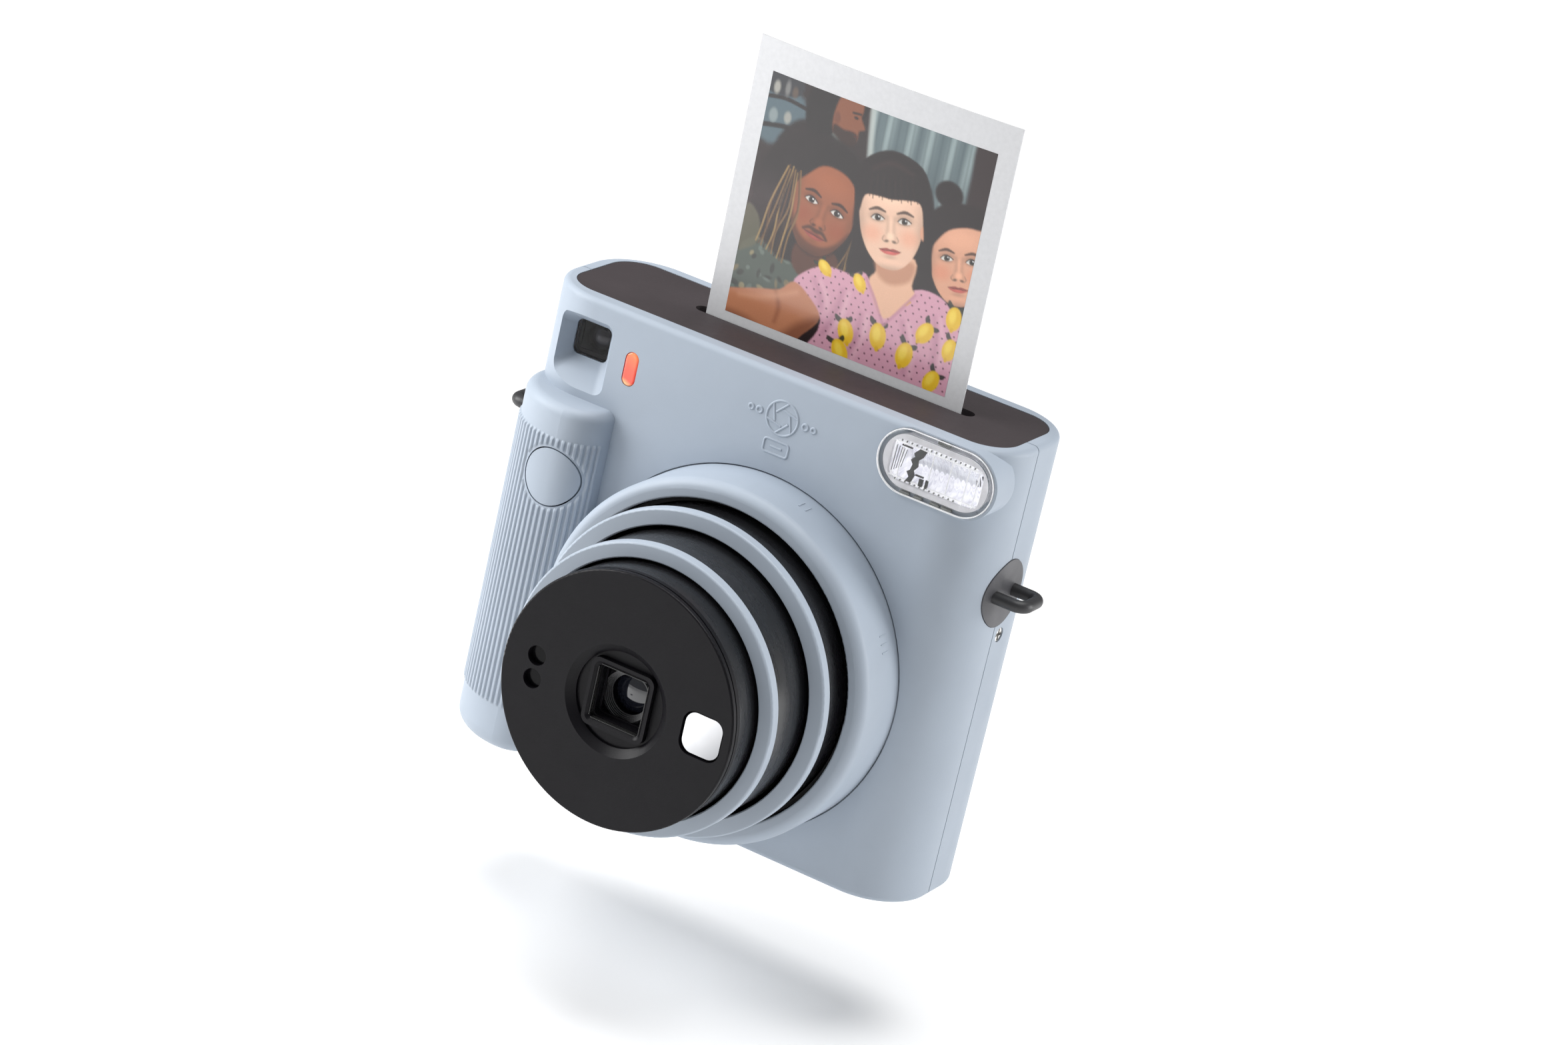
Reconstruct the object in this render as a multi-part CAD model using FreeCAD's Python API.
"""Instant camera with a telescoping lens and a print leaving its top slot.

Frame: x to the right as seen from the front, y towards the back, z up.
The origin is the centre of the flat underside. All lengths are millimetres.
The pose is the one in use: lens fully out, print pushed out by the rollers.
"""
import FreeCAD, Part
import math
import os

os.makedirs("parts", exist_ok=True)
V = FreeCAD.Vector

# ---- driving dimensions -------------------------------------------------
BODY_W = 130.7            # overall width of the case
BODY_H = 119.0            # overall height of the case
FRONT_Y = -20.7           # flat front face
BACK_Y = 20.7             # flat back face
PART_Y = -2.6             # plane where the two case halves meet
CORNER_R = 16.0           # upright corners of the case, seen from above
EDGE_R = 1.5              # small round along the top and bottom edges
SEAM_DEPTH = 0.35         # groove along the parting line
SEAM_HALF = 0.16          # half the width of that groove
WALL = 2.0                # moulded wall
TOP_WALL = 3.6            # thicker roof that carries the top panel
HALF_W = BODY_W / 2

LENS_X = 7.5              # optical axis
LENS_Z = 48.4
RING_R = 45.4             # power ring
RING_BORE = 40.62
RING_FRONT = FRONT_Y - 16.55
SEAT_R = 45.76            # round seat of the power ring in the case
SEAT_Y = FRONT_Y + 1.0
THROAT_R = 42.0           # hole through the case front for the barrels

OUTER_FRONT = FRONT_Y - 27.17     # front faces of the three stages, extended
MIDDLE_FRONT = FRONT_Y - 43.66
CAP_FRONT = FRONT_Y - 54.5
TRIM_DEPTH = 2.9          # depth of the coloured trim rings
TRIM_EDGE_R = 0.55        # outer edge of the trim rings
RING_SHOULDER_R = 2.6     # outer edge of the power ring
RING_LIP_R = 0.5          # inner edge of the power ring

GRIP_PEAK_X = -46.6       # crest of the grip's arch
GRIP_RIGHT_R = 9.6
GRIP_LEFT_R = HALF_W + GRIP_PEAK_X
GRIP_PEAK_Y = FRONT_Y - 9.5
GRIP_BOTTOM = 1.2
GRIP_TOP = 93.5

BUTTON_Z = 75.1
BUTTON_R = 7.2
BUTTON_HOLE_R = 7.55

FLASH_X = 48.9
FLASH_Z = 110.2
FLASH_R = 8.2             # end radius of the clear cover
FLASH_HALF = 15.7         # half length of the clear cover

PANEL_HALF_X = 61.62
PANEL_FRONT = -15.85
PANEL_BACK = 16.2
PANEL_R = 9.0
PANEL_BOTTOM = 117.3
PANEL_TOP = 118.9

FILM_X = 6.2              # middle of the print, the slot and the film pack
SHEET_W = 72.0
SHEET_H = 86.0
SHEET_T = 0.4
PRINT_Y = 0.3
PRINT_TOP = 190.6
SLOT_LEN = 78.4
SLOT_Y0 = -1.2
SLOT_Y1 = 3.2

ROLLER_R = 4.0
ROLLER_Z = 110.0
NIP_GAP = 0.05            # from the paper to each roller
DRIVE_Y = PRINT_Y - SHEET_T / 2 - NIP_GAP - ROLLER_R
PINCH_Y = PRINT_Y + SHEET_T / 2 + NIP_GAP + ROLLER_R
JOURNAL_R = 1.5
FIT = 0.05                # radial clearance of a running fit

CHEEK_LEFT = (-36.6, -34.6)       # the two side plates of the inner frame
CHEEK_RIGHT = (47.0, 49.0)

MODULE = 0.5              # roller drive gears
PINION_TEETH = 10
IDLER_TEETH = 20
ROLLER_TEETH = 18
IDLER_Y = -10.5
GEAR_X0 = -40.0
GEAR_X1 = -37.6

LUG_Y = -2.4              # strap lugs
LUG_Z = 81.2
LUG_DISC_R = 8.7
LUG_REACH = 74.6

DOOR_X0 = -36.0           # film door in the back
DOOR_X1 = 49.4
DOOR_Z0 = 5.0
DOOR_Z1 = 113.0
DOOR_IN = 18.1
HINGE_X = 50.4
HINGE_Y = 19.2
HINGE_R = 1.45
HINGE_PIN_R = 0.6
GAP = 0.35                # clearance round the moving covers

BATTERY_X = -50.4
BATTERY_Y = 7.0
BATTERY_R = 7.8
BATTERY_LEN = 27.0
BATTERY_Z = (6.4, 34.6)   # feet of the two cells, one above the other
BATTERY_HINGE_X = -41.0
BATTERY_HINGE_Z = 1.0

VF_X0 = -56.4             # viewfinder window
VF_X1 = -46.4
VF_Z0 = 101.4
VF_Z1 = 110.4
VF_WINDOW_Y = FRONT_Y + 7.0

LAMP_X = -35.9            # self-timer lamp
LAMP_Z = 105.4
LAMP_HALF_W = 1.75
LAMP_HALF_H = 4.25

OUTER_TUBE_R = 38.9       # the three stages of the lens
MIDDLE_TUBE_R = 35.0
INNER_TUBE_R = 31.2
TUBE_WALL = 1.6

CAP_R = 31.6
RECESS_R = 13.8           # round recess in the front cap
FRAME_HALF = 8.6          # square frame inside it
SENSOR_X = -15.2
SENSOR_Z = (45.3, 51.2)
SENSOR_R = 2.45
MIRROR_X = 31.1
MIRROR_Z = 48.9
MIRROR_HALF = 5.0

COUNTER_X = -44.6         # film counter in the back
COUNTER_Z = 82.0
COUNTER_R = 6.6

SIDE_SCREW_Y = 1.0
SIDE_SCREW_Z = 69.4
SIDE_SCREW_R = 1.75
CASE_SCREW_R = 2.15
BACK_SCREWS = [(-46.0, 12.0), (-46.0, 92.0)]      # x, z
BASE_SCREWS = [(-22.0, 10.0), (40.0, 10.0)]       # x, y

PITCH_IDLER = MODULE * IDLER_TEETH / 2
PITCH_PINION = MODULE * PINION_TEETH / 2
PITCH_ROLLER = MODULE * ROLLER_TEETH / 2
IDLER_Z = ROLLER_Z - math.sqrt((PITCH_IDLER + PITCH_ROLLER) ** 2 - (DRIVE_Y - IDLER_Y) ** 2)
MOTOR_Y = -13.3
MOTOR_Z = IDLER_Z + math.sqrt((PITCH_IDLER + PITCH_PINION) ** 2 - (MOTOR_Y - IDLER_Y) ** 2)


# ---- small helpers ------------------------------------------------------
def save(name, shape):
    """Write one named piece."""
    if isinstance(shape, list):
        shape = Part.makeCompound(shape)
    shape.exportStep("parts/%s.step" % name)


def box(x0, x1, y0, y1, z0, z1):
    corner = V(min(x0, x1), min(y0, y1), min(z0, z1))
    return Part.makeBox(abs(x1 - x0), abs(y1 - y0), abs(z1 - z0), corner)


def edges_along(shape, axis):
    """Straight edges parallel to one axis."""
    found = []
    for edge in shape.Edges:
        a, b = edge.Vertexes[0].Point, edge.Vertexes[-1].Point
        d = b - a
        if d.Length > 1e-6 and abs(abs(getattr(d, axis)) - d.Length) < 1e-6:
            found.append(edge)
    return found


def rounded_box(x0, x1, y0, y1, z0, z1, radius, axis="z"):
    """Box with its four edges along one axis rounded."""
    shape = box(x0, x1, y0, y1, z0, z1)
    return shape.makeFillet(radius, edges_along(shape, axis))


def disc_y(x, z, radius, y0, y1):
    return Part.makeCylinder(radius, abs(y1 - y0), V(x, min(y0, y1), z), V(0, 1, 0))


def disc_x(y, z, radius, x0, x1):
    return Part.makeCylinder(radius, abs(x1 - x0), V(min(x0, x1), y, z), V(1, 0, 0))


def disc_z(x, y, radius, z0, z1):
    return Part.makeCylinder(radius, abs(z1 - z0), V(x, y, min(z0, z1)), V(0, 0, 1))


def lens_ring(outer, inner, y0, y1):
    """Ring on the optical axis."""
    return disc_y(LENS_X, LENS_Z, outer, y0, y1).cut(disc_y(LENS_X, LENS_Z, inner, y0 - 1, y1 + 1))


def circles_at(shape, radius, y):
    """Circular edges of a ring with one radius, lying at one depth."""
    found = []
    for edge in shape.Edges:
        is_circle = edge.Curve.TypeId == "Part::GeomCircle"
        if is_circle and abs(edge.Curve.Radius - radius) < 1e-3 and abs(edge.Curve.Center.y - y) < 1e-3:
            found.append(edge)
    return found


def level_edges(shape, z):
    """All edges lying in one horizontal plane."""
    found = []
    for edge in shape.Edges:
        box_of = edge.BoundBox
        if abs(box_of.ZMin - z) < 1e-3 and abs(box_of.ZMax - z) < 1e-3:
            found.append(edge)
    return found


def stadium_y(x, z, half, radius, y0, y1):
    """Level stadium seen from the front: a box with round ends."""
    end = half - radius
    middle = box(x - end, x + end, y0, y1, z - radius, z + radius)
    return fuse_all([middle, disc_y(x - end, z, radius, y0, y1), disc_y(x + end, z, radius, y0, y1)])


def stadium_z(x, y, half, radius, z0, z1):
    """The same seen from above."""
    end = half - radius
    middle = box(x - end, x + end, y - radius, y + radius, z0, z1)
    return fuse_all([middle, disc_z(x - end, y, radius, z0, z1), disc_z(x + end, y, radius, z0, z1)])


def fuse_all(shapes):
    result = shapes[0]
    for shape in shapes[1:]:
        result = result.fuse(shape)
    return result.removeSplitter()


# ---- case ---------------------------------------------------------------
def case_solid(grow):
    """The whole case as one block; grow moves every wall outwards."""
    block = rounded_box(-HALF_W - grow, HALF_W + grow, FRONT_Y - grow, BACK_Y + grow,
                        0, BODY_H, CORNER_R + grow)
    return block.makeFillet(EDGE_R, level_edges(block, 0) + level_edges(block, BODY_H))


def seam_groove():
    """Shallow groove that runs round the case where its halves meet."""
    y_low, y_high = PART_Y - SEAM_HALF, PART_Y + SEAM_HALF
    round_it = rounded_box(-HALF_W + SEAM_DEPTH, HALF_W - SEAM_DEPTH, y_low, y_high,
                           SEAM_DEPTH, BODY_H - SEAM_DEPTH, EDGE_R, "y")
    return box(-HALF_W - 1, HALF_W + 1, y_low, y_high, -1, BODY_H + 1).cut(round_it)


def case_cavity():
    return rounded_box(-HALF_W + WALL, HALF_W - WALL, FRONT_Y + WALL, BACK_Y - WALL,
                       WALL, BODY_H - TOP_WALL, CORNER_R - WALL)


def arch_face(inset, z):
    """Plan view of the grip: two arcs that meet at its crest."""
    left_r = GRIP_LEFT_R - inset
    right_r = GRIP_RIGHT_R - inset
    peak = V(GRIP_PEAK_X, GRIP_PEAK_Y + inset, z)
    left_c = V(GRIP_PEAK_X, GRIP_PEAK_Y + inset + left_r, z)
    right_c = V(GRIP_PEAK_X, GRIP_PEAK_Y + inset + right_r, z)
    cos45 = math.sqrt(0.5)
    left_end = left_c + V(-left_r, 0, 0)
    right_end = right_c + V(right_r, 0, 0)
    left_arc = Part.Arc(left_end, left_c + V(-left_r * cos45, -left_r * cos45, 0), peak)
    right_arc = Part.Arc(peak, right_c + V(right_r * cos45, -right_r * cos45, 0), right_end)
    inside_left = V(left_end.x, PART_Y, z)
    inside_right = V(right_end.x, PART_Y, z)
    edges = [left_arc.toShape(), right_arc.toShape(),
             Part.LineSegment(right_end, inside_right).toShape(),
             Part.LineSegment(inside_right, inside_left).toShape(),
             Part.LineSegment(inside_left, left_end).toShape()]
    return Part.Face(Part.Wire(edges))


def grip_solid():
    grip = arch_face(0, GRIP_BOTTOM).extrude(V(0, 0, GRIP_TOP - GRIP_BOTTOM))
    low = [e for e in level_edges(grip, GRIP_BOTTOM) if e.Curve.TypeId == "Part::GeomCircle"]
    grip = grip.makeFillet(4.5, low)
    high = [e for e in level_edges(grip, GRIP_TOP) if e.Curve.TypeId == "Part::GeomCircle"]
    return grip.makeFillet(2.6, high)


def grip_cavity():
    return arch_face(WALL, GRIP_BOTTOM + 4.5).extrude(V(0, 0, GRIP_TOP - GRIP_BOTTOM - 7.5))


def rounded_wire(x0, x1, z0, z1, radius, y):
    """Rounded rectangle facing the front, at one depth."""
    outline = rounded_box(x0, x1, y, y + 1, z0, z1, radius, "y")
    for face in outline.Faces:
        if face.BoundBox.YMax - y < 1e-3:
            return face.OuterWire
    return None


def finder_funnel():
    mouth = rounded_wire(-60.6, -41.9, 95.0, 114.2, 2.6, FRONT_Y - 0.6)
    throat = rounded_wire(VF_X0, VF_X1, VF_Z0, VF_Z1, 1.6, VF_WINDOW_Y)
    return Part.makeLoft([mouth, throat], True, True)


def front_shell():
    half = case_solid(0).common(box(-80, 80, -40, PART_Y, -1, 130))
    boss = stadium_y(FLASH_X + 0.3, FLASH_Z, FLASH_HALF + 0.5, FLASH_R + 0.5, -12, FRONT_Y - 0.3)
    shell = fuse_all([half, grip_solid(), boss])
    shell = shell.cut(case_cavity().common(box(-80, 80, -40, PART_Y + 1, 0, 130)))
    shell = shell.cut(grip_cavity())
    finder_block = box(-62.5, -40.6, FRONT_Y + 1, VF_WINDOW_Y + 2, 94.5, 116)
    flash_block = stadium_y(FLASH_X, FLASH_Z - 0.6, FLASH_HALF + 1, FLASH_R - 0.9, FRONT_Y + 1, -13)
    inner = case_solid(0).common(fuse_all([finder_block, flash_block]))
    shell = shell.fuse(inner).removeSplitter()
    shell = shell.cut(finder_funnel())
    shell = shell.cut(rounded_box(VF_X0, VF_X1, VF_WINDOW_Y - 1, -8, VF_Z0, VF_Z1, 1.6, "y"))
    shell = shell.cut(disc_y(LENS_X, LENS_Z, SEAT_R, -60, SEAT_Y))
    shell = shell.cut(disc_y(LENS_X, LENS_Z, THROAT_R, -60, -10))
    shell = shell.cut(disc_y(GRIP_PEAK_X, BUTTON_Z, BUTTON_HOLE_R, -40, -22))
    shell = shell.cut(upright_stadium(LAMP_HALF_W + 0.15, LAMP_HALF_H + 0.15, -30, -15))
    shell = shell.cut(stadium_y(FLASH_X, FLASH_Z, FLASH_HALF + 0.1, FLASH_R + 0.1, -30, FRONT_Y + 0.9))
    flash_well = rounded_box(FLASH_X - 13, FLASH_X + 13, -30, -11, FLASH_Z - 5.6, FLASH_Z + 5.2, 2, "y")
    shell = shell.cut(flash_well)
    return shell.cut(shared_cuts())


def shared_cuts():
    """Openings that cross the parting plane: panel pocket, roof window, lug holes, seam."""
    pocket = rounded_box(-PANEL_HALF_X - 0.15, PANEL_HALF_X + 0.15, PANEL_FRONT - 0.15,
                         PANEL_BACK + 0.15, PANEL_BOTTOM - 0.1, BODY_H + 1, PANEL_R + 0.15)
    window = rounded_box(FILM_X - 41, FILM_X + 41, -9.4, 9.8, 110, BODY_H + 1, 2)
    cuts = [pocket, window]
    for side in (-1, 1):
        x_in, x_out = sorted((side * 60.0, side * 70.0))
        cuts.append(disc_x(LUG_Y, LUG_Z, LUG_DISC_R + 0.1, x_in, x_out))
    cuts.append(seam_groove())
    return Part.makeCompound(cuts)


def rear_shell():
    shell = case_solid(0).common(box(-80, 80, PART_Y, 40, -1, 130))
    hinge_post = box(47.5, 56.0, 15.0, 19.5, 3, 116)
    cavity = case_cavity().common(box(-80, 80, PART_Y - 1, 40, 0, 130)).cut(hinge_post)
    shell = shell.cut(cavity)
    doorway = rounded_box(DOOR_X0 - GAP, DOOR_X1 + GAP, 10, 30, DOOR_Z0 - GAP, DOOR_Z1 + GAP, 5.0, "y")
    shell = shell.cut(doorway)
    shell = shell.cut(disc_z(HINGE_X, HINGE_Y, 2.35, DOOR_Z0 + 1.5, DOOR_Z1 - 1.5))
    shell = shell.cut(disc_z(HINGE_X, HINGE_Y, HINGE_PIN_R + 0.02, DOOR_Z0 - 1.2, DOOR_Z1 + 1.2))
    shell = shell.cut(rounded_box(-59.2, -43.4, 15, 25, 98.0, 114.0, 3.0, "y"))
    shell = shell.cut(counter_pane(0.1, 15, 25))
    shell = shell.cut(rounded_box(-59.5, -39.5, -1.75, 15.75, -1, 3, 1.2))
    for x, z in BACK_SCREWS:
        shell = shell.cut(disc_y(x, z, CASE_SCREW_R + 0.15, BACK_Y - 1.2, BACK_Y + 1))
    for x, y in BASE_SCREWS:
        shell = shell.cut(disc_z(x, y, CASE_SCREW_R + 0.15, -1, 1.2))
    for side in (-1, 1):
        x_in, x_out = sorted((side * (HALF_W - 1.3), side * (HALF_W + 1)))
        shell = shell.cut(disc_x(SIDE_SCREW_Y, SIDE_SCREW_Z, SIDE_SCREW_R + 0.15, x_in, x_out))
    for y in (-1.75, 15.75):
        shell = shell.cut(disc_y(BATTERY_HINGE_X, BATTERY_HINGE_Z, 0.65, y - 1.1, y + 1.1))
    return shell.cut(shared_cuts())


def top_panel():
    """Cover plate with the print slot and the short throat below it."""
    slot_y = (SLOT_Y0 + SLOT_Y1) / 2
    slot_r = (SLOT_Y1 - SLOT_Y0) / 2
    panel = rounded_box(-PANEL_HALF_X, PANEL_HALF_X, PANEL_FRONT, PANEL_BACK, PANEL_BOTTOM, PANEL_TOP,
                        PANEL_R)
    throat = stadium_z(FILM_X, slot_y, SLOT_LEN / 2 + 0.8, slot_r + 0.8, 115.6, PANEL_BOTTOM + 0.5)
    slot = stadium_z(FILM_X, slot_y, SLOT_LEN / 2, slot_r, 110, 125)
    return panel.fuse(throat).removeSplitter().cut(slot)


# ---- front details ------------------------------------------------------
def upright_stadium(half_w, half_h, y0, y1):
    """Pill shape of the self-timer lamp."""
    end = half_h - half_w
    middle = box(LAMP_X - half_w, LAMP_X + half_w, y0, y1, LAMP_Z - end, LAMP_Z + end)
    return fuse_all([middle, disc_y(LAMP_X, LAMP_Z - end, half_w, y0, y1),
                     disc_y(LAMP_X, LAMP_Z + end, half_w, y0, y1)])


def lamp_lens():
    lens = upright_stadium(LAMP_HALF_W, LAMP_HALF_H, FRONT_Y - 0.15, FRONT_Y + 3.0)
    front = [e for e in lens.Edges if e.BoundBox.YMax < FRONT_Y - 0.1]
    return lens.makeFillet(0.5, front)


def finder_window():
    return rounded_box(VF_X0 + 0.1, VF_X1 - 0.1, VF_WINDOW_Y + 0.3, VF_WINDOW_Y + 1.5,
                       VF_Z0 + 0.1, VF_Z1 - 0.1, 1.5, "y")


def finder_tube():
    outer = box(VF_X0, VF_X1, VF_WINDOW_Y + 2.2, 17.0, VF_Z0, VF_Z1)
    return outer.cut(box(VF_X0 + 1, VF_X1 - 1, -20, 20, VF_Z0 + 1, VF_Z1 - 1))


def eyepiece_frame():
    frame = rounded_box(-59.0, -43.6, 17.3, 21.2, 98.2, 113.8, 2.8, "y")
    funnel = Part.makeLoft([rounded_wire(-57.6, -45.0, 99.6, 112.4, 2.0, 21.3),
                            rounded_wire(-56.0, -46.8, 101.6, 110.4, 1.4, 19.2)], True, True)
    return frame.cut(funnel).cut(rounded_box(-56.0, -46.8, 17, 20, 101.6, 110.4, 1.4, "y"))


def eyepiece_glass():
    return rounded_box(-55.9, -46.9, 17.8, 19.0, 101.7, 110.3, 1.3, "y")


def flash_cover():
    """Clear stadium cap with an inner hollow, open at the back."""
    cap = stadium_y(FLASH_X, FLASH_Z, FLASH_HALF, FLASH_R, FRONT_Y - 1.5, FRONT_Y + 0.8)
    front = [e for e in cap.Edges if e.BoundBox.YMax < FRONT_Y - 1.4]
    cap = cap.makeFillet(0.9, front)
    hollow = stadium_y(FLASH_X, FLASH_Z, FLASH_HALF - 1.4, FLASH_R - 1.4, FRONT_Y - 0.3, FRONT_Y + 2)
    return cap.cut(hollow)


def flash_reflector():
    """Trough with a rounded back, open to the front."""
    block = rounded_box(FLASH_X - 12.8, FLASH_X + 12.8, FRONT_Y + 0.9, -11.8,
                        FLASH_Z - 5.4, FLASH_Z + 5.0, 1.8, "y")
    front = rounded_wire(FLASH_X - 12.2, FLASH_X + 12.2, FLASH_Z - 4.8, FLASH_Z + 4.4, 1.2, FRONT_Y - 0.1)
    back = rounded_wire(FLASH_X - 9.5, FLASH_X + 9.5, FLASH_Z - 2.4, FLASH_Z + 2.0, 1.0, -12.6)
    return block.cut(Part.makeLoft([front, back], True, True))


def flash_tube():
    return disc_x(-14.6, FLASH_Z - 0.2, 1.3, FLASH_X - 9.0, FLASH_X + 9.0)


def shutter_button():
    """Round button whose face carries on the grip's arch."""
    arch = arch_face(0.05, BUTTON_Z - 10).extrude(V(0, 0, 20))
    head = disc_y(GRIP_PEAK_X, BUTTON_Z, BUTTON_R, -36, -22.5).common(arch)
    stem = disc_y(GRIP_PEAK_X, BUTTON_Z, 2.4, -23, -17.6)
    return head.fuse(stem).removeSplitter()


def shutter_switch():
    body = box(GRIP_PEAK_X - 4, GRIP_PEAK_X + 4, -14.6, -11.0, BUTTON_Z - 4, BUTTON_Z + 4)
    return body.fuse(disc_y(GRIP_PEAK_X, BUTTON_Z, 1.6, -16.2, -14)).removeSplitter()


# ---- lens ---------------------------------------------------------------
def power_ring():
    """Turning ring with a rounded shoulder."""
    ring = lens_ring(RING_R, RING_BORE, RING_FRONT, SEAT_Y - 0.2)
    ring = ring.makeFillet(RING_SHOULDER_R, circles_at(ring, RING_R, RING_FRONT))
    return ring.makeFillet(RING_LIP_R, circles_at(ring, RING_BORE, RING_FRONT))


def lens_mount():
    """Fixed guide tube with the flange that screws to the case."""
    flange = lens_ring(44.0, 39.2, FRONT_Y + WALL + 0.2, FRONT_Y + WALL + 2.2)
    tube = lens_ring(40.3, 39.2, FRONT_Y - 13.1, FRONT_Y + WALL + 1)
    return flange.fuse(tube).removeSplitter()


def trim_ring(outer, inner, front):
    """Coloured ring at the mouth of a stage, rounded outside."""
    ring = lens_ring(outer, inner, front, front + TRIM_DEPTH)
    ring = ring.makeFillet(TRIM_EDGE_R, circles_at(ring, outer, front))
    return ring.makeChamfer(0.3, circles_at(ring, inner, front))


def barrel(radius, front, back, lip_r):
    """Tube with an inward lip behind its trim ring."""
    tube = lens_ring(radius, radius - TUBE_WALL, front, back)
    lip = lens_ring(radius, lip_r, front, front + 1.2)
    return tube.fuse(lip).removeSplitter()


def outer_barrel():
    return barrel(OUTER_TUBE_R, OUTER_FRONT + TRIM_DEPTH, FRONT_Y - 8.3, 36.15)


def middle_barrel():
    return barrel(MIDDLE_TUBE_R, MIDDLE_FRONT + TRIM_DEPTH, FRONT_Y - 23.3, 31.98)


def inner_barrel():
    return barrel(INNER_TUBE_R, CAP_FRONT + 3.2, FRONT_Y - 39.7, 28.0)


def front_cap():
    cap = disc_y(LENS_X, LENS_Z, CAP_R, CAP_FRONT, CAP_FRONT + 3.2)
    cap = cap.makeFillet(0.45, circles_at(cap, CAP_R, CAP_FRONT))
    cap = cap.cut(lens_ring(CAP_R + 1, CAP_R - 0.25, CAP_FRONT + 1.5, CAP_FRONT + 1.9))
    cone = Part.makeCone(RECESS_R, RECESS_R - 2.0, 1.7, V(LENS_X, CAP_FRONT, LENS_Z), V(0, 1, 0))
    cap = cap.cut(cone)
    cap = cap.cut(disc_y(LENS_X, LENS_Z, RECESS_R - 2.0, CAP_FRONT + 1.6, CAP_FRONT + 2.4))
    cap = cap.cut(square(FRAME_HALF + 0.1, 2.3, CAP_FRONT, CAP_FRONT + 5))
    for z in SENSOR_Z:
        cap = cap.cut(disc_y(SENSOR_X, z, SENSOR_R, CAP_FRONT - 1, CAP_FRONT + 5))
    half = MIRROR_HALF + 0.5
    pocket = rounded_box(MIRROR_X - half, MIRROR_X + half, CAP_FRONT - 1, CAP_FRONT + 2.2,
                         MIRROR_Z - half, MIRROR_Z + half, 3.2, "y")
    return cap.cut(pocket)


def square(half, radius, y0, y1):
    """Rounded square plug on the optical axis."""
    return rounded_box(LENS_X - half, LENS_X + half, y0, y1, LENS_Z - half, LENS_Z + half, radius, "y")


def lens_frame():
    """Square window frame with stepped baffles that close in on the glass."""
    frame = square(FRAME_HALF, 2.2, CAP_FRONT + 0.9, CAP_FRONT + 12.0)
    steps = [(7.0, 1.5, 0.0, 3.0), (6.4, 1.2, 2.9, 5.0), (5.9, 1.0, 4.9, 7.0)]
    for half, radius, start, stop in steps:
        frame = frame.cut(square(half, radius, CAP_FRONT + start, CAP_FRONT + stop))
    bevel = Part.makeLoft([square_wire(7.9, 1.9, CAP_FRONT + 0.7), square_wire(6.9, 1.4, CAP_FRONT + 1.9)],
                          True, True)
    frame = frame.cut(bevel)
    return frame.cut(disc_y(LENS_X, LENS_Z, 5.2, CAP_FRONT + 6, CAP_FRONT + 13))


def glass(radius, front, bulge, thickness):
    """Lens turned from a profile whose front is an arc of a circle."""
    sphere_r = (radius * radius + bulge * bulge) / (2 * bulge)
    half_way = radius / 2
    sag = sphere_r - math.sqrt(sphere_r * sphere_r - half_way * half_way)
    pole = V(LENS_X, front, LENS_Z)
    rim = V(LENS_X + radius, front + bulge, LENS_Z)
    rim_back = V(LENS_X + radius, front + thickness, LENS_Z)
    centre_back = V(LENS_X, front + thickness, LENS_Z)
    edges = [Part.Arc(pole, V(LENS_X + half_way, front + sag, LENS_Z), rim).toShape(),
             Part.LineSegment(rim, rim_back).toShape(),
             Part.LineSegment(rim_back, centre_back).toShape(),
             Part.LineSegment(centre_back, pole).toShape()]
    return Part.Face(Part.Wire(edges)).revolve(centre_back, V(0, 1, 0), 360)


def shutter_plate():
    """Disc behind the front glass that carries the shutter blades' motor."""
    plate = disc_y(LENS_X, LENS_Z, 29.4, CAP_FRONT + 12.2, CAP_FRONT + 14.6)
    plate = plate.cut(disc_y(LENS_X, LENS_Z, 4.0, CAP_FRONT, CAP_FRONT + 20))
    motor = disc_y(LENS_X + 16, LENS_Z - 12, 4.5, CAP_FRONT + 4.5, CAP_FRONT + 12.5)
    return plate.fuse(motor).removeSplitter()


def sensor_windows():
    return [disc_y(SENSOR_X, z, SENSOR_R - 0.1, CAP_FRONT + 1.6, CAP_FRONT + 2.6) for z in SENSOR_Z]


def selfie_mirror():
    """Convex mirror, a rounded square cut from a large ball."""
    ball_r = 60.0
    blank = rounded_box(MIRROR_X - MIRROR_HALF, MIRROR_X + MIRROR_HALF, CAP_FRONT - 1, CAP_FRONT + 2.2,
                        MIRROR_Z - MIRROR_HALF, MIRROR_Z + MIRROR_HALF, 2.8, "y")
    return blank.common(Part.makeSphere(ball_r, V(MIRROR_X, CAP_FRONT + 0.35 + ball_r, MIRROR_Z)))


# ---- film path ----------------------------------------------------------
def light_cone():
    """Square funnel between the lens and the film."""
    outer = Part.makeLoft([square_wire(26, 2, -14), square_wire(33, 2, -2.2)], True, True)
    inner = Part.makeLoft([square_wire(24.6, 1, -14.1), square_wire(31.6, 1, -2.1)], True, True)
    return outer.cut(inner)


def square_wire(half, radius, y):
    """Rounded square outline on the optical axis."""
    return rounded_wire(LENS_X - half, LENS_X + half, LENS_Z - half, LENS_Z + half, radius, y)


def chassis():
    """Inner frame: a front plate and two cheeks that carry the rollers."""
    left = box(CHEEK_LEFT[0], CHEEK_LEFT[1], -9.4, 14.6, 4, 114.5)
    right = box(CHEEK_RIGHT[0], CHEEK_RIGHT[1], -9.4, 14.6, 4, 114.5)
    plate = box(CHEEK_LEFT[0], CHEEK_RIGHT[1], -9.4, -7.6, 4, 98)
    frame = fuse_all([left, right, plate])
    half = 31.5
    frame = frame.cut(box(LENS_X - half, LENS_X + half, -12, 0, LENS_Z - half, LENS_Z + half))
    for y in (DRIVE_Y, PINCH_Y):
        frame = frame.cut(disc_x(y, ROLLER_Z, JOURNAL_R + FIT, -45, 55))
    return frame


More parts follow.
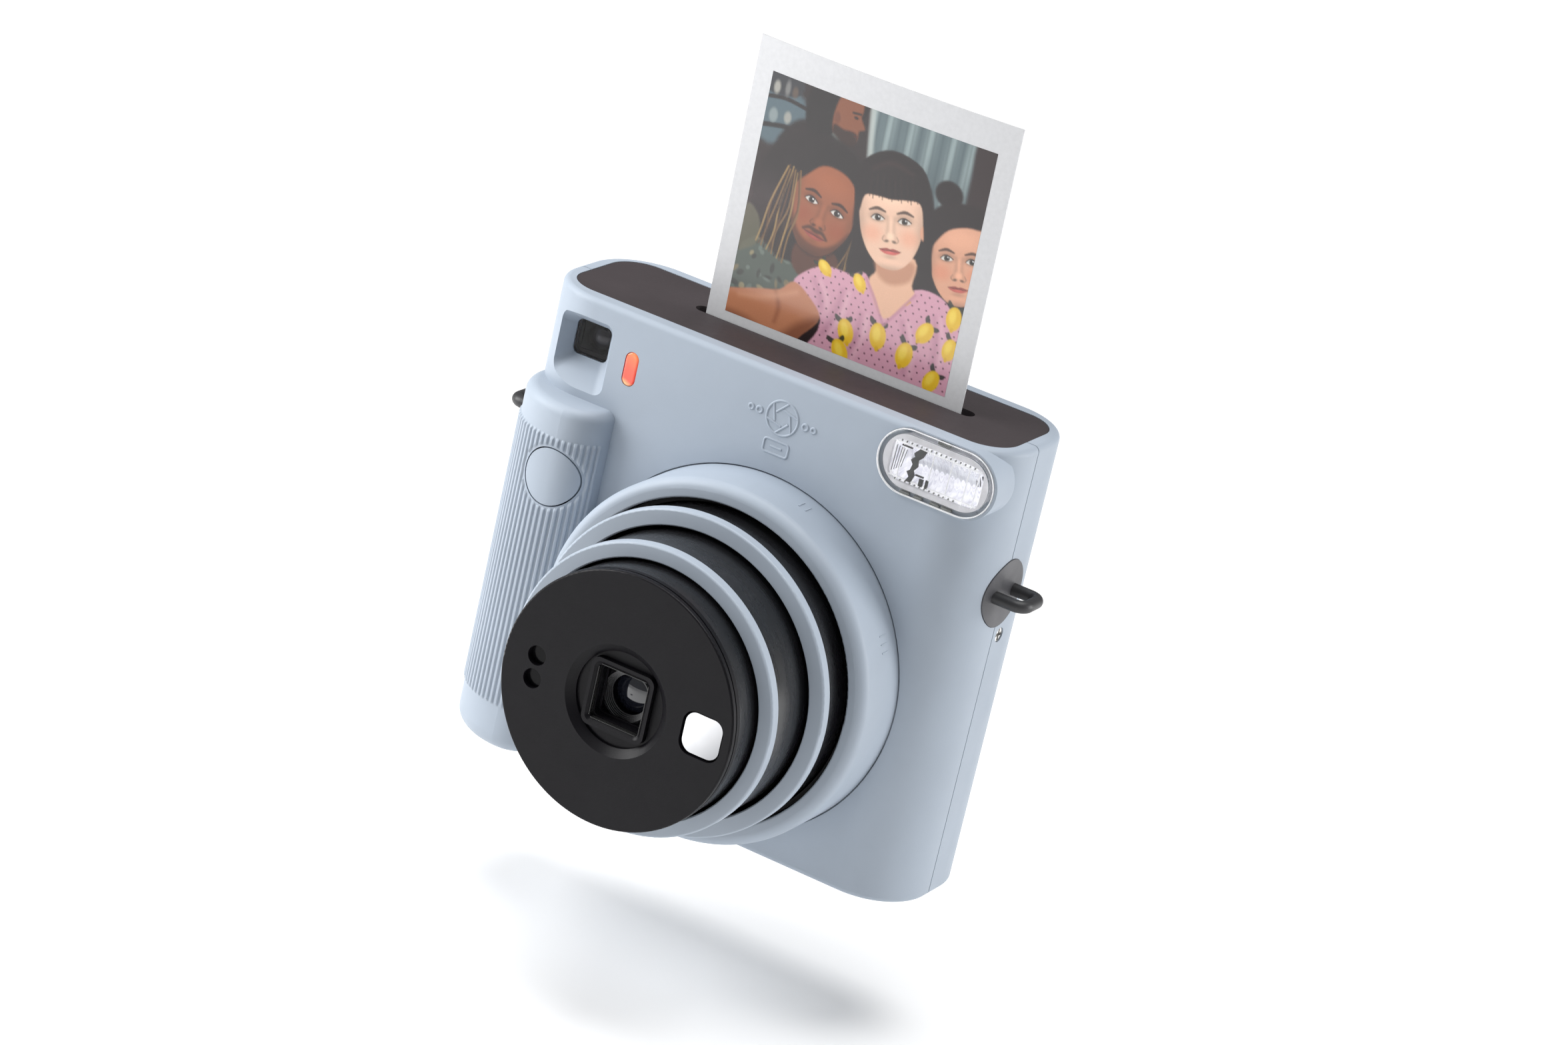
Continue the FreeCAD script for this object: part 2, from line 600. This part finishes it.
def roller(y, left_end):
    body = disc_x(y, ROLLER_Z, ROLLER_R, FILM_X - 37.5, FILM_X + 37.5)
    return body.fuse(disc_x(y, ROLLER_Z, JOURNAL_R, left_end, CHEEK_RIGHT[1])).removeSplitter()


def film_cartridge():
    case = rounded_box(FILM_X - 39.6, FILM_X + 39.6, -1.7, 15.3, 7.4, 98.4, 2.0, "y")
    case = case.cut(box(FILM_X - 38, FILM_X + 38, -0.6, 14.1, 8.6, 97.2))
    case = case.cut(box(LENS_X - 31.6, LENS_X + 31.6, -3, 0, LENS_Z - 31.6, LENS_Z + 31.6))
    return case.cut(box(FILM_X - 37, FILM_X + 37, -0.6, 1.2, 90, 100))


def film_stack():
    """Unexposed sheets waiting behind the first one."""
    sheets = []
    for index in range(9):
        y = 1.4 + index * 0.65
        sheets.append(box(FILM_X - SHEET_W / 2, FILM_X + SHEET_W / 2, y, y + 0.6, 9.6, 9.6 + SHEET_H))
    return sheets


def pressure_plate():
    plate = box(FILM_X - 35, FILM_X + 35, 7.6, 8.4, 11, 94)
    for z in (32, 72):
        bow = disc_x(7.2, z, 5.0, FILM_X - 8, FILM_X + 8)
        plate = plate.fuse(bow.common(box(-50, 60, 8, 12.1, 0, 120)))
    return plate.removeSplitter()


def instant_print():
    return box(FILM_X - SHEET_W / 2, FILM_X + SHEET_W / 2, PRINT_Y - SHEET_T / 2,
               PRINT_Y + SHEET_T / 2, PRINT_TOP - SHEET_H, PRINT_TOP)


# ---- roller drive -------------------------------------------------------
def gear(teeth, y, z, phase, bore):
    """Spur gear about an x axis, a tooth pointing along the phase angle."""
    pitch_r = MODULE * teeth / 2
    root_r = pitch_r - 1.15 * MODULE
    tip_r = pitch_r + 0.85 * MODULE
    base_half = 0.30 * math.pi * MODULE
    pitch_half = 0.205 * math.pi * MODULE
    tip_half = 0.09 * math.pi * MODULE
    points = []
    for index in range(teeth):
        middle = phase + 2 * math.pi * index / teeth
        for radius, half in ((root_r, -base_half), (pitch_r, -pitch_half), (tip_r, -tip_half),
                             (tip_r, tip_half), (pitch_r, pitch_half), (root_r, base_half)):
            angle = middle + half / radius
            points.append(V(GEAR_X0, y + radius * math.cos(angle), z + radius * math.sin(angle)))
    points.append(points[0])
    blank = Part.Face(Part.makePolygon(points)).extrude(V(GEAR_X1 - GEAR_X0, 0, 0))
    return blank.cut(disc_x(y, z, bore, -50, -30))


def direction(y0, z0, y1, z1):
    return math.atan2(z1 - z0, y1 - y0)


def drive_gears():
    """Three meshed gears: a tooth of one always faces a gap of the next."""
    to_roller = direction(IDLER_Y, IDLER_Z, DRIVE_Y, ROLLER_Z)
    to_motor = direction(IDLER_Y, IDLER_Z, MOTOR_Y, MOTOR_Z)
    idler_step = 2 * math.pi / IDLER_TEETH
    roller_phase = to_roller + math.pi + math.pi / ROLLER_TEETH
    roller_gear = gear(ROLLER_TEETH, DRIVE_Y, ROLLER_Z, roller_phase, JOURNAL_R)
    idler = gear(IDLER_TEETH, IDLER_Y, IDLER_Z, to_roller, 1.0 + FIT)
    turn = (to_motor - to_roller) / idler_step
    slip = (turn - math.floor(turn)) * 2 * math.pi / PINION_TEETH
    pinion_phase = to_motor + math.pi + math.pi / PINION_TEETH + slip
    pinion = gear(PINION_TEETH, MOTOR_Y, MOTOR_Z, pinion_phase, 0.8)
    return roller_gear, idler, pinion


def drive_motor():
    can = disc_x(MOTOR_Y, MOTOR_Z, 4.9, -32.0, -8.0)
    nose = disc_x(MOTOR_Y, MOTOR_Z, 2.0, -34.4, -31.0)
    return can.fuse(nose).removeSplitter()


def idler_stud():
    stud = disc_x(IDLER_Y, IDLER_Z, 1.0, -40.4, -34.6)
    foot = box(-36.9, -34.6, IDLER_Y - 2, -9.4, IDLER_Z - 2, IDLER_Z + 2)
    return stud.fuse(foot).removeSplitter()


def pinion_shaft():
    return disc_x(MOTOR_Y, MOTOR_Z, 0.78, -40.3, -34.5)


# ---- back ---------------------------------------------------------------
def film_door():
    plate = rounded_box(DOOR_X0, DOOR_X1, DOOR_IN, BACK_Y, DOOR_Z0, DOOR_Z1, 4.6, "y")
    barrel_z0, barrel_z1 = DOOR_Z0 + 4.4, DOOR_Z1 - 4.4
    barrel_solid = disc_z(HINGE_X, HINGE_Y, HINGE_R, barrel_z0, barrel_z1)
    bridge = box(DOOR_X1 - 1, HINGE_X, HINGE_Y - 0.8, HINGE_Y + 0.8, barrel_z0, barrel_z1)
    door = fuse_all([plate, barrel_solid, bridge])
    door = door.cut(disc_z(HINGE_X, HINGE_Y, HINGE_PIN_R + FIT, 0, 120))
    door = door.cut(rounded_box(-33.5, -25.5, BACK_Y - 1.5, 30, 50.0, 68.0, 1.0, "y"))
    door = door.cut(rounded_box(LENS_X - 9, LENS_X + 9, 10, 30, 56, 66, 1.5, "y"))
    return door.cut(rounded_box(LENS_X - 10, LENS_X + 10, 10, DOOR_IN + 1.3, 55, 67, 1.5, "y"))


def door_hinge_pin():
    return disc_z(HINGE_X, HINGE_Y, HINGE_PIN_R, DOOR_Z0 - 1, DOOR_Z1 + 1)


def film_window():
    pane = rounded_box(LENS_X - 9.9, LENS_X + 9.9, DOOR_IN, DOOR_IN + 1.2, 55.1, 66.9, 1.4, "y")
    lens = rounded_box(LENS_X - 8.9, LENS_X + 8.9, DOOR_IN + 1, BACK_Y - 0.3, 56.1, 65.9, 1.4, "y")
    return pane.fuse(lens).removeSplitter()


def door_latch():
    slider = rounded_box(-33.1, -25.9, BACK_Y - 1.4, BACK_Y + 0.3, 50.6, 63.4, 0.8, "y")
    for index in range(5):
        z = 53.0 + index * 2.0
        slider = slider.cut(box(-32, -27, BACK_Y - 0.1, 30, z, z + 0.8))
    return slider


def counter_wheel():
    wheel = disc_y(COUNTER_X, COUNTER_Z, COUNTER_R, 16.6, 18.0)
    return wheel.cut(disc_y(COUNTER_X, COUNTER_Z, 1.0 + FIT, 10, 30))


def counter_post():
    post = disc_y(COUNTER_X, COUNTER_Z, 1.0, 14.0, 18.4)
    base = box(COUNTER_X - 3, CHEEK_LEFT[0], 13.0, 14.6, COUNTER_Z - 3, COUNTER_Z + 3)
    return post.fuse(base).removeSplitter()


def counter_pane(grow, y0, y1):
    """Window over the numbers of the counter wheel."""
    return rounded_box(COUNTER_X - 3.1 - grow, COUNTER_X + 3.1 + grow, y0, y1,
                       COUNTER_Z + 1.5 - grow, COUNTER_Z + 6.1 + grow, 1.1 + grow, "y")


# ---- power --------------------------------------------------------------
def battery(z0):
    can = disc_z(BATTERY_X, BATTERY_Y, BATTERY_R, z0, z0 + BATTERY_LEN - 1)
    return can.fuse(disc_z(BATTERY_X, BATTERY_Y, 3.0, z0, z0 + BATTERY_LEN)).removeSplitter()


def battery_sleeve():
    tube = disc_z(BATTERY_X, BATTERY_Y, BATTERY_R + 1.4, 4.0, 64.0)
    return tube.cut(disc_z(BATTERY_X, BATTERY_Y, BATTERY_R + 0.4, 0, 62.8))


def battery_contacts():
    top = disc_z(BATTERY_X, BATTERY_Y, 5.0, 61.9, 62.6)
    middle = disc_z(BATTERY_X, BATTERY_Y, 5.0, 33.7, 34.2)
    return [top, middle]


def battery_door():
    """Cover in the underside, turning on two moulded stubs."""
    plate = rounded_box(-59.2, BATTERY_HINGE_X, -1.4, 15.4, 0, 2.0, 0.9)
    knuckle = disc_y(BATTERY_HINGE_X, BATTERY_HINGE_Z, 1.0, -1.4, 15.4)
    stubs = disc_y(BATTERY_HINGE_X, BATTERY_HINGE_Z, 0.6, -2.1, 16.1)
    contact = box(-54, -46, 3, 11, 2.0, 2.6)
    plate = fuse_all([plate, knuckle, stubs, contact])
    for index in range(4):
        x = -57.6 + index * 1.2
        plate = plate.cut(box(x, x + 0.6, 3, 11, -1, 0.4))
    return plate


def main_board():
    board = box(51.0, 61.5, -8.5, -7.3, 12, 98)
    chips = [box(53, 59, -7.3, -5.6, 22, 30), box(52.5, 59.5, -7.3, -5.9, 78, 88)]
    return fuse_all([board] + chips)


def flash_capacitor():
    return disc_z(57.0, 5.0, 5.5, 30, 66)


# ---- trim and fasteners -------------------------------------------------
def strap_disc(side):
    """Round plate that follows the curved side of the case."""
    x_in, x_out = sorted((side * 62.6, side * 70.0))
    return disc_x(LUG_Y, LUG_Z, LUG_DISC_R, x_in, x_out).common(case_solid(0.25))


def strap_lug(side):
    """Flat loop standing out from the disc, its eye upright."""
    root = HALF_W + 0.3
    x0, x1 = sorted((side * (root - 6), side * LUG_REACH))
    loop = rounded_box(x0, x1, LUG_Y - 6.2, LUG_Y + 6.2, LUG_Z - 1.6, LUG_Z + 1.6, 4.0)
    loop = loop.common(box(side * root, side * LUG_REACH, -20, 20, 60, 100))
    eye0, eye1 = sorted((side * (HALF_W + 2.2), side * (LUG_REACH - 2.6)))
    eye = rounded_box(eye0, eye1, LUG_Y - 3.7, LUG_Y + 3.7, 60, 100, 1.9)
    return loop.cut(eye)


def cross_cut(shape, position, axis, depth):
    """Cross recess in a screw head; axis points out of the head."""
    size = 1.5
    thin = 0.42
    for a, b in ((size, thin), (thin, size)):
        if abs(axis.x) > 0.5:
            blade = Part.makeBox(2 * depth, a * 2, b * 2, position - V(depth, a, b))
        elif abs(axis.y) > 0.5:
            blade = Part.makeBox(a * 2, 2 * depth, b * 2, position - V(a, depth, b))
        else:
            blade = Part.makeBox(a * 2, b * 2, 2 * depth, position - V(a, b, depth))
        shape = shape.cut(blade)
    return shape


def screw(position, axis, head_r, length):
    """Pan-head screw; position is the middle of its outer face."""
    head = Part.makeCylinder(head_r, 1.0, position, axis * -1)
    shank = Part.makeCylinder(0.8, length, position, axis * -1)
    return cross_cut(head.fuse(shank).removeSplitter(), position, axis, 0.6)


def side_screws():
    return [screw(V(side * (HALF_W - 0.25), SIDE_SCREW_Y, SIDE_SCREW_Z), V(side, 0, 0), SIDE_SCREW_R, 1.04)
            for side in (-1, 1)]


def case_screws():
    screws = [screw(V(x, BACK_Y - 0.15, z), V(0, 1, 0), CASE_SCREW_R, 1.04) for x, z in BACK_SCREWS]
    screws += [screw(V(x, y, 0.15), V(0, 0, -1), CASE_SCREW_R, 1.04) for x, y in BASE_SCREWS]
    return screws


# ---- build --------------------------------------------------------------
def main():
    roller_gear, idler, pinion = drive_gears()
    pieces = {
        "front_shell": front_shell(),
        "rear_shell": rear_shell(),
        "top_panel": top_panel(),
        "lamp_lens": lamp_lens(),
        "viewfinder_window": finder_window(),
        "viewfinder_tube": finder_tube(),
        "eyepiece_frame": eyepiece_frame(),
        "eyepiece_glass": eyepiece_glass(),
        "flash_cover": flash_cover(),
        "flash_reflector": flash_reflector(),
        "flash_tube": flash_tube(),
        "shutter_button": shutter_button(),
        "shutter_switch": shutter_switch(),
        "power_ring": power_ring(),
        "lens_mount": lens_mount(),
        "outer_barrel": outer_barrel(),
        "outer_trim_ring": trim_ring(40.3, 36.15, OUTER_FRONT),
        "middle_barrel": middle_barrel(),
        "middle_trim_ring": trim_ring(35.8, 31.98, MIDDLE_FRONT),
        "inner_barrel": inner_barrel(),
        "front_cap": front_cap(),
        "lens_frame": lens_frame(),
        "front_lens": glass(5.1, CAP_FRONT + 7.4, 1.6, 4.0),
        "shutter_plate": shutter_plate(),
        "rear_lens": glass(3.9, CAP_FRONT + 12.6, 0.9, 2.4),
        "sensor_windows": sensor_windows(),
        "selfie_mirror": selfie_mirror(),
        "light_cone": light_cone(),
        "chassis": chassis(),
        "drive_roller": roller(DRIVE_Y, GEAR_X0 - 0.4),
        "pinch_roller": roller(PINCH_Y, CHEEK_LEFT[0]),
        "film_cartridge": film_cartridge(),
        "film_stack": film_stack(),
        "pressure_plate": pressure_plate(),
        "instant_print": instant_print(),
        "roller_gear": roller_gear,
        "idler_gear": idler,
        "idler_stud": idler_stud(),
        "motor_pinion": pinion,
        "pinion_shaft": pinion_shaft(),
        "drive_motor": drive_motor(),
        "film_door": film_door(),
        "door_hinge_pin": door_hinge_pin(),
        "film_window": film_window(),
        "door_latch": door_latch(),
        "film_counter": counter_wheel(),
        "counter_post": counter_post(),
        "counter_glass": counter_pane(0, 19.0, 20.3),
        "battery_lower": battery(BATTERY_Z[0]),
        "battery_upper": battery(BATTERY_Z[1]),
        "battery_sleeve": battery_sleeve(),
        "battery_contacts": battery_contacts(),
        "battery_door": battery_door(),
        "main_board": main_board(),
        "flash_capacitor": flash_capacitor(),
        "strap_discs": [strap_disc(-1), strap_disc(1)],
        "strap_lug_left": strap_lug(-1),
        "strap_lug_right": strap_lug(1),
        "side_screws": side_screws(),
        "case_screws": case_screws(),
    }
    for name, shape in pieces.items():
        save(name, shape)
        solids = sum(len(s.Solids) for s in shape) if isinstance(shape, list) else len(shape.Solids)
        valid = all(s.isValid() for s in (shape if isinstance(shape, list) else [shape]))
        print("%-20s solids %d valid %s" % (name, solids, valid))


main()
